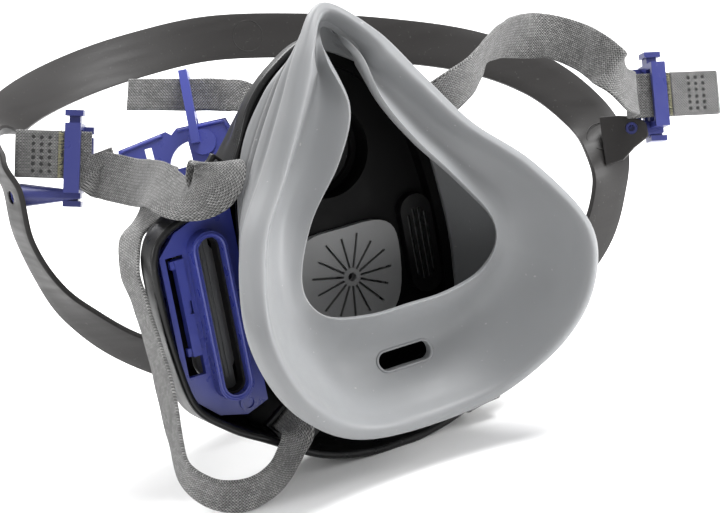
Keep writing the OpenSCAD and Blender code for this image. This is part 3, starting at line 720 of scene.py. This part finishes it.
STRAP_ROUTE = {
    "left": [
        [[-40, 55, 16.4], [0.7, 0, 0.7]], [[-40, 48.4, 16.5], [0.7, 0, 0.7]],
        [[-40, 45.6, 17], [0.8, -0.1, 0.6]], [[-39.4, 43.8, 19.6], [0.9, -0.3, 0.1]],
        [[-38.4, 42.2, 22.2], [0.9, -0.4, 0]], [[-38, 39, 22.6], [0.9, -0.4, -0.2]],
        [[-39.6, 36.4, 20], [0.8, -0.5, -0.3]], [[-42.6, 35.2, 17.4], [0.6, -0.6, -0.6]],
        [[-46.2, 37.4, 16], [0, -0.6, -0.8]], [[-49.4, 44, 15], [-0.8, -0.2, -0.5]],
        [[-50, 54, 16.4], [-0.9, 0, -0.4]], [[-48.8, 64, 17], [-0.7, -0.1, -0.7]],
        [[-46.8, 76, 15.6], [-0.5, -0.3, -0.8]],
        [[-46, 90, 14.4], [-0.4, -0.5, -0.8]]],
    "right": [
        [[36.4, 60, 18.4], [0.6, 0, -0.8]], [[37.4, 54, 20], [0.6, 0, -0.8]],
        [[41, 48, 23], [0.5, 0.3, -0.8]], [[51, 50, 26], [0.2, 0.5, -0.9]],
        [[62, 59, 29], [0.1, 0.6, -0.8]], [[71, 68, 31], [0, 0.7, -0.7]],
        [[82, 79, 30], [-0.2, 0.4, -0.8]], [[92, 84, 28], [-0.5, 0, -0.8]],
        [[100, 83, 26], [-0.5, -0.2, -0.8]], [[106, 77, 22], [-0.4, -0.2, -0.9]],
        [[108, 69, 18], [-0.4, -0.2, -0.9]], [[110, 64, 13], [-0.4, -0.2, -0.9]],
        [[116, 68, 6], [-0.4, -0.4, -0.8]], [[124, 76, 2], [-0.3, -0.4, -0.9]]],
}
NECK_ROUTE = {
    "left": [
        [[-29.6, 51, -56.2], [-0.8, 0, -0.6]], [[-29.8, 46, -56.6], [-0.8, 0, -0.6]],
        [[-30.6, 38, -59], [-0.8, -0.3, -0.4]], [[-39, 32, -65.6], [-0.6, -0.3, 0.6]],
        [[-48, 27, -68.4], [-0.2, -0.2, 1]], [[-57, 26, -68.6], [0, -0.1, 1]],
        [[-64, 30, -66], [0, -0.2, 1]], [[-68, 36, -60], [0.1, -0.5, 0.9]],
        [[-66.5, 42, -50], [0.1, -0.8, 0.5]], [[-65, 46, -38], [0.2, -1, 0.2]],
        [[-64, 51, -26], [0.1, -1, 0.2]], [[-63.8, 55, -14], [0.1, -1, 0.2]],
        [[-63.4, 59.4, -5], [0.2, -1, 0.2]], [[-58.6, 66, 3], [0.3, -1, 0.1]],
        [[-51, 72, 5.6], [0.3, -0.9, 0]], [[-44, 80, 9], [0.3, -0.9, 0]],
        [[-38, 90, 13], [0.2, -0.9, -0.2]], [[-33, 97, 16], [0, -0.8, -0.5]]],
    "right": [
        [[29.6, 51, -56.2], [0.8, 0, -0.6]], [[29.8, 46, -56.6], [0.8, 0, -0.6]],
        [[29.6, 38.4, -59.4], [0.8, 0, -0.5]], [[30, 35, -66.4], [0.9, 0, -0.2]],
        [[30.5, 40, -69.4], [1, 0, 0.3]], [[30.5, 54, -70.4], [1, 0, 0.3]],
        [[30.5, 68, -69.6], [1, 0, 0.2]], [[30, 79, -62], [1, 0, 0.1]],
        [[27, 84, -47], [0.9, 0.1, 0.3]], [[21.5, 85, -26], [0.9, 0.1, 0.4]],
        [[14, 85, -6], [0.8, 0.2, 0.6]], [[8, 87, 12], [0.6, 0.2, 0.8]],
        [[3, 88.6, 22], [0.5, 0.2, 0.8]], [[-4.4, 91.6, 30.4], [0.3, 0.3, 0.9]]],
}
TAIL_ROUTE = [
    [[-7.6, 94, 31.6], [0.3, 0.3, 0.9]], [[-13, 98.2, 33], [0.1, 0.2, 1]],
    [[-18, 101, 33.9], [0.1, 0.2, 1]], [[-25, 105, 35.4], [0.1, 0.3, 0.9]],
    [[-34, 112, 37], [0.2, 0.4, 0.9]]]
TEMPLE_ARM = [(-10, 5.2), (-4, 4.8), (0, 4), (4.2, 1.8), (5, 0.8), (5.2, -3), (4.6, -3.8),
              (0, -6.6), (-4, -10), (-10, -11)]
WEB_T = 1.3
UPPER_WIDTH = 14.6
HEM_WIDTH = 14.5
NECK_WIDTH = 10
CRADLE_STEPS = 12
PEG_HOLE_R = 2.06
# centre, turn in degrees and mirror of each buckle
BUCKLE = {"left": ((-56.2, 109, 22.6), (-13, 12, -28), -1),
          "right": ((136.6, 85.3, -2.8), (-16, 10, -13), 1)}
# height of the hemmed end, its tip, and height of the strap as it comes in
TAB = {"left": (0.9, 17.4, -5.0), "right": (0.0, 21.0, 0.0)}


def frame_of(side):
    """The buckle's own frame: X along the strap, Y into the depth, Z across the strap."""
    at, turn, flip = BUCKLE[side]
    return shifted(at) @ turned(turn) @ Matrix.Diagonal((flip, 1, 1, 1))


def on_buckle(side, point):
    """A point of the buckle's frame, in the shared frame's millimetres."""
    return np.array(frame_of(side) @ (Vector(point) * MM)) / MM


def across_buckle(side):
    return np.array(frame_of(side).to_3x3() @ Vector((0, 0, -1)))


def head_cradle():
    """The closed band, with a moulded temple and its peg hole at each side."""
    body = band("cradle_band", CRADLE, 15, 1.8, closed=True, steps=CRADLE_STEPS, edge=0.35, lanes=4)
    pads, holes = [], []
    for side, turn, outline, low, high in (("left", (0, 0, -90), circle(5.2), -0.8, 1.0),
                                           ("right", (-18, 0, -36), TEMPLE_ARM, -0.9, 0.9)):
        centre = Vector(joints[f"buckle_{side}_swivel"]["pos_m"])
        place = Matrix.Translation(centre) @ turned(turn)
        pad = prism("pad", outline, low, high)
        pad.matrix_world = place
        pads.append(soften(pad, 0.35, 3))
        holes.append(place)
    pieces = [body] + pads
    for p in pieces:
        bore(p, holes)
    piece = join("cradle_band", pieces + [mould_ring(i) for i in (5.46, 10.85)])
    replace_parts(finish(piece, "cradle_plastic", "root"), "head_cradle")


def bore(obj, places):
    """Bores the peg holes through one piece of the cradle."""
    cutters = []
    for place in places:
        hole = prism("hole", circle(PEG_HOLE_R), -4, 4)
        hole.matrix_world = place
        cutters.append(hole)
    cut(obj, cutters)


def mould_ring(at):
    """A faint round mark on the inner face of the cradle's band."""
    centre = smooth_loop([r[0] for r in CRADLE], CRADLE_STEPS)
    across = smooth_loop([r[1] for r in CRADLE], CRADLE_STEPS)
    i = int(at * CRADLE_STEPS)
    run = unit(centre[i + 2] - centre[i - 2])
    side = unit(across[i] - (across[i] @ run) * run)
    up = np.cross(run, side)
    middle = centre[i]
    inside = -np.sign(up @ (middle - np.array([20, 110, -10])))
    ring = [middle + up * inside * 0.86 + 5.2 * (math.cos(a) * run + math.sin(a) * side)
            for a in np.linspace(0, 2 * math.pi, 64, endpoint=False)]
    return tube("mould_ring", ring, 0.16, closed=True, sides=6)


def upper_strap(side):
    """The webbing from the cover to the buckle, and on through it to the hemmed end."""
    tab_z, tab_end, strap_z = TAB[side]
    across = across_buckle(side)
    pass_y = -2.8
    inner_end = -7.6 if side == "left" else -8.4
    tail = [[on_buckle(side, (inner_end - 2, pass_y, strap_z)), across],
            [on_buckle(side, (inner_end + 0.6, pass_y, strap_z * 0.8)), across],
            [on_buckle(side, (-4.8, pass_y, tab_z)), across]]
    strap = band(f"upper_strap_{side}_web", STRAP_ROUTE[side] + tail, UPPER_WIDTH, WEB_T, steps=12,
                 wave=0.12, lanes=10)
    finish(strap, "webbing", None)
    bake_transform(strap)
    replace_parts(strap, f"upper_strap_{side}")
    hem(side, tab_z, tab_end, pass_y, across)


def hem(side, z, end, y, across):
    """The strap's end folded back on itself and welded in a grid of dots."""
    raw = 4.2
    back, front = y, y - WEB_T - 0.08
    middle = (back + front) / 2
    line = [(-5.4, y), (-2, y), (2, y), (8, back), (end - 2.4, back), (end - 1.0, back - 0.1),
            (end - 0.3, middle), (end - 1.0, front + 0.1), (end - 2.4, front), (9, front),
            (raw + 0.3, front - 0.1)]
    route = [[on_buckle(side, (x, yy, z)), across] for x, yy in line]
    web = band(f"hem_{side}_web", route, HEM_WIDTH, WEB_T, steps=6, wave=0.05, lanes=10)
    finish(web, "webbing", f"buckle_{side}")
    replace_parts(web, f"strap_tab_{side}")
    dots(side, z, end, front - WEB_T / 2)
    fray(side, z, raw, front - 0.1)


def dots(side, z, end, face):
    """Weld dots: small pits, each a dark dimple set in the hem."""
    columns, rows = 3, 6
    made = []
    for i in range(columns):
        for k in range(rows):
            x = end - 10.4 + i * 2.5
            zz = z + (k - (rows - 1) / 2) * 2.05 + random.uniform(-0.12, 0.12)
            pit = prism("pit", circle(0.62, (x, zz), 10), face - 0.10, face + 0.35)
            pit.matrix_world = frame_of(side)
            made.append(soften(pit, 0.08, 1))
    piece = join(f"weld_dots_{side}", made)
    finish(outward_faces(piece), "webbing", f"buckle_{side}", PIT_DARK)


def fray(side, z, x, y):
    """Loose yarn ends along the cut edge of the webbing."""
    made = []
    for k in range(46):
        zz = z - 7.0 + 14.0 * k / 45 + random.uniform(-0.1, 0.1)
        reach, lift = random.uniform(0.5, 1.5), random.uniform(-0.5, 0.5)
        path = [(x + 0.6, y, zz), (x, y + lift * 0.3, zz + random.uniform(-0.1, 0.1)),
                (x - reach, y + lift, zz + random.uniform(-0.4, 0.4))]
        made.append(tube("yarn", [on_buckle(side, p) for p in path], 0.13, sides=5))
    piece = join(f"frayed_edge_{side}", made)
    finish(piece, "webbing", f"buckle_{side}", RAW_EDGE)


def neck_straps():
    """The narrow webbing from the cover to the clip, and the loose tail past it."""
    web = band("neck_strap_left_web", NECK_ROUTE["left"], NECK_WIDTH, WEB_T, wave=0.12, lanes=8)
    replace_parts(finish(web, "webbing", "root", NECK_KNIT_PAINTED_LIGHT), "neck_strap_left")
    # the right strap runs on into the tail that the hook holds
    near_tail = [[[-9, 95, 32], [0.3, 0.3, 0.9]]]
    web = band("neck_strap_right_web", NECK_ROUTE["right"] + near_tail, NECK_WIDTH, WEB_T, wave=0.12,
               lanes=8)
    finish(web, "webbing", None, NECK_KNIT_PAINTED_LIGHT)
    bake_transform(web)
    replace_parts(web, "neck_strap_right")
    web = band("neck_tail_web", TAIL_ROUTE, NECK_WIDTH, WEB_T, wave=0.08, lanes=8)
    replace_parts(finish(web, "webbing", "neck_clip_hook", NECK_KNIT_PAINTED_LIGHT), "neck_tail")


def button_springs():
    """Two small coil springs under the ends of each check button."""
    for side in SIDES:
        low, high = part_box(f"button_spring_{side}")
        y0, y1 = low.y / MM, high.y / MM
        x = (low.x + high.x) / 2 / MM
        r, wire, turns, parts = 1.35, 0.22, 4.5, 20
        n = int(turns * parts)
        coils = []
        for z in (low.z / MM + 1.7, high.z / MM - 1.7):
            path = [(x + r * math.cos(2 * math.pi * k / parts), y0 + 0.25 + (y1 - y0 - 0.5) * k / n,
                     z + r * math.sin(2 * math.pi * k / parts)) for k in range(n + 1)]
            coils.append(tube("coil", path, wire, sides=8))
        piece = join(f"coil_pair_{side}", coils)
        finish(piece, "spring_steel", "root")
        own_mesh(piece)
        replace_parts(piece, f"button_spring_{side}")


PORT_AT = (43.2, -22.05)    # centre of the right port's slot in X and Z


def small_parts():
    """Raised details that the moulded pieces carry."""
    for side, s in zip(SIDES, (-1, 1)):
        low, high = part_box(f"check_button_{side}")
        x, z = (low.x + high.x) / 2 / MM, (low.z + high.z) / 2 / MM
        rear = low.y / MM
        ribs = [block("rib", (x + dx - 0.35, rear - 0.5, z - 21), (x + dx + 0.35, rear + 0.4, z + 21))
                for dx in (-2.6, -1.3, 0, 1.3, 2.6)]
        piece = join(f"pad_ribs_{side}", [soften(r, 0.15, 2) for r in ribs])
        finish(piece, "black_plastic", f"check_button_{side}", PAD_GREY)
        front = high.y / MM
        dimples = [tube("ring", [(x + r * math.cos(a), front - 0.55, z + r * math.sin(a))
                                 for a in np.linspace(0, 2 * math.pi, 40, endpoint=False)], 0.25, True)
                   for r in (1.6, 3.2)]
        finish(join(f"button_rings_{side}", dimples), "black_plastic", f"check_button_{side}")
        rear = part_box(f"port_plate_{side}")[0].y / MM
        centre = (s * PORT_AT[0], PORT_AT[1])
        rim = [(px, rear + 0.2, pz) for px, pz in stadium(4.75, 40, centre, parts=16)]
        finish(tube(f"collar_bead_{side}", dense(rim), 0.55, True), "blue_plastic", "root")


def clip_border():
    """The raised border along the top of the neck clip's plate."""
    place = shifted((-26, 101, 18)) @ turned((-13, -4, -24))
    made = []
    for outline in ([(-17.6, 0), (-16.8, 3.8), (-2.4, 5.7)], [(1.6, 5.9), (16.4, 5.3), (17.6, 1.2)]):
        made.append(tube("border", dense([(x, -1.05, z) for x, z in outline], closed=False), 0.55))
        made[-1].matrix_world = place
    for x, z in ((-13, -2.4), (11.4, -3.6)):
        rib = block("rib", (x - 3, -1.5, z - 0.35), (x + 3, -0.6, z + 0.35))
        rib.matrix_world = place
        made.append(soften(rib, 0.2, 2))
    finish(join("clip_border", made), "blue_plastic", "root", CLIP_BLUE)


OWN_FINISH = {name: material for material, names in (
    (INNER_PAINTED_SHADE, ("inner_frame", "voice_clamp", "voice_gasket", "voice_grille", "front_panel")),
    (PAD_GREY, ("check_button_left", "check_button_right")),
    (BUCKLE_BLUE, ("buckle_left", "buckle_right", "buckle_lever_left", "buckle_lever_right")),
    (CLIP_BLUE, ("neck_clip_socket", "neck_clip_hook"))) for name in names}


def cad_finishes():
    """Materials and softened edges for the CAD pieces that show as they are."""
    for row in record["subparts"]:
        node = nodes[row["node"]]
        node.data.materials.clear()
        node.data.materials.append(OWN_FINISH.get(node.name, FINISH[row["material_slot"]]))
        if not node.hide_render:
            width = 0.12 if "flap" in node.name or "diaphragm" in node.name else 0.28
            soften(node, width)


# name, place from the middle of the object, size and power of each lamp
LAMPS = (("key", (0.45, -0.4, 1.5), 0.8, 30), ("right", (1.3, -0.75, 0.45), 0.8, 20),
         ("back", (0.1, 1.5, 1.6), 1.4, 52), ("side", (-1.3, 0.2, 0.5), 0.6, 4))
FLOOR_HALF = 6.0


def stage_and_light():
    """A plain pale floor under the object, a white sky and four soft lamps."""
    mesh = bpy.data.meshes.new("floor")
    corners = [(x * FLOOR_HALF, y * FLOOR_HALF, cad_low.z) for x, y in ((-1, -1), (1, -1), (1, 1), (-1, 1))]
    mesh.from_pydata(corners, [], [(0, 1, 2, 3)])
    floor = bpy.data.objects.new("floor", mesh)
    bpy.context.scene.collection.objects.link(floor)
    s = Shader("floor_white", (0.93, 0.93, 0.93), 0.8)
    floor.data.materials.append(s.material)
    world = bpy.data.worlds.new("studio")
    bpy.context.scene.world = world
    world.use_nodes = True
    sky = world.node_tree.nodes["Background"]
    sky.inputs["Color"].default_value = (1, 1, 1, 1)
    sky.inputs["Strength"].default_value = 0.62
    middle = (cad_low + cad_high) / 2
    for name, place, size, power in LAMPS:
        lamp = bpy.data.lights.new(name, "AREA")
        lamp.shape, lamp.size, lamp.energy = "DISK", size, power
        obj = bpy.data.objects.new(name, lamp)
        obj.location = middle + Vector(place)
        obj.rotation_mode = "QUATERNION"
        obj.rotation_quaternion = (middle - obj.location).to_track_quat("-Z", "Y")
        bpy.context.scene.collection.objects.link(obj)


def camera():
    """Seen from in front of the mouth's opening, above it and to its left."""
    data = bpy.data.cameras.new("camera")
    data.lens, data.sensor_width = 123.4, 36
    data.clip_start, data.clip_end = 0.01, 20
    obj = bpy.data.objects.new("camera", data)
    right = Vector((0.8764, -0.4464, -0.1803))
    up = Vector((0.2605, 0.1247, 0.9574))
    ahead = Vector((0.4049, 0.8861, -0.2256))
    place = Matrix((right, up, -ahead)).transposed().to_4x4()
    place.translation = Vector((-0.2924, -0.6003, 0.148))
    obj.matrix_world = place
    bpy.context.scene.collection.objects.link(obj)
    bpy.context.scene.camera = obj


face_seal()
front_cover()
head_cradle()
for side in SIDES:
    upper_strap(side)
neck_straps()
button_springs()
small_parts()
clip_border()
cad_finishes()
stage_and_light()
camera()
bpy.context.scene.view_settings.view_transform = "Standard"
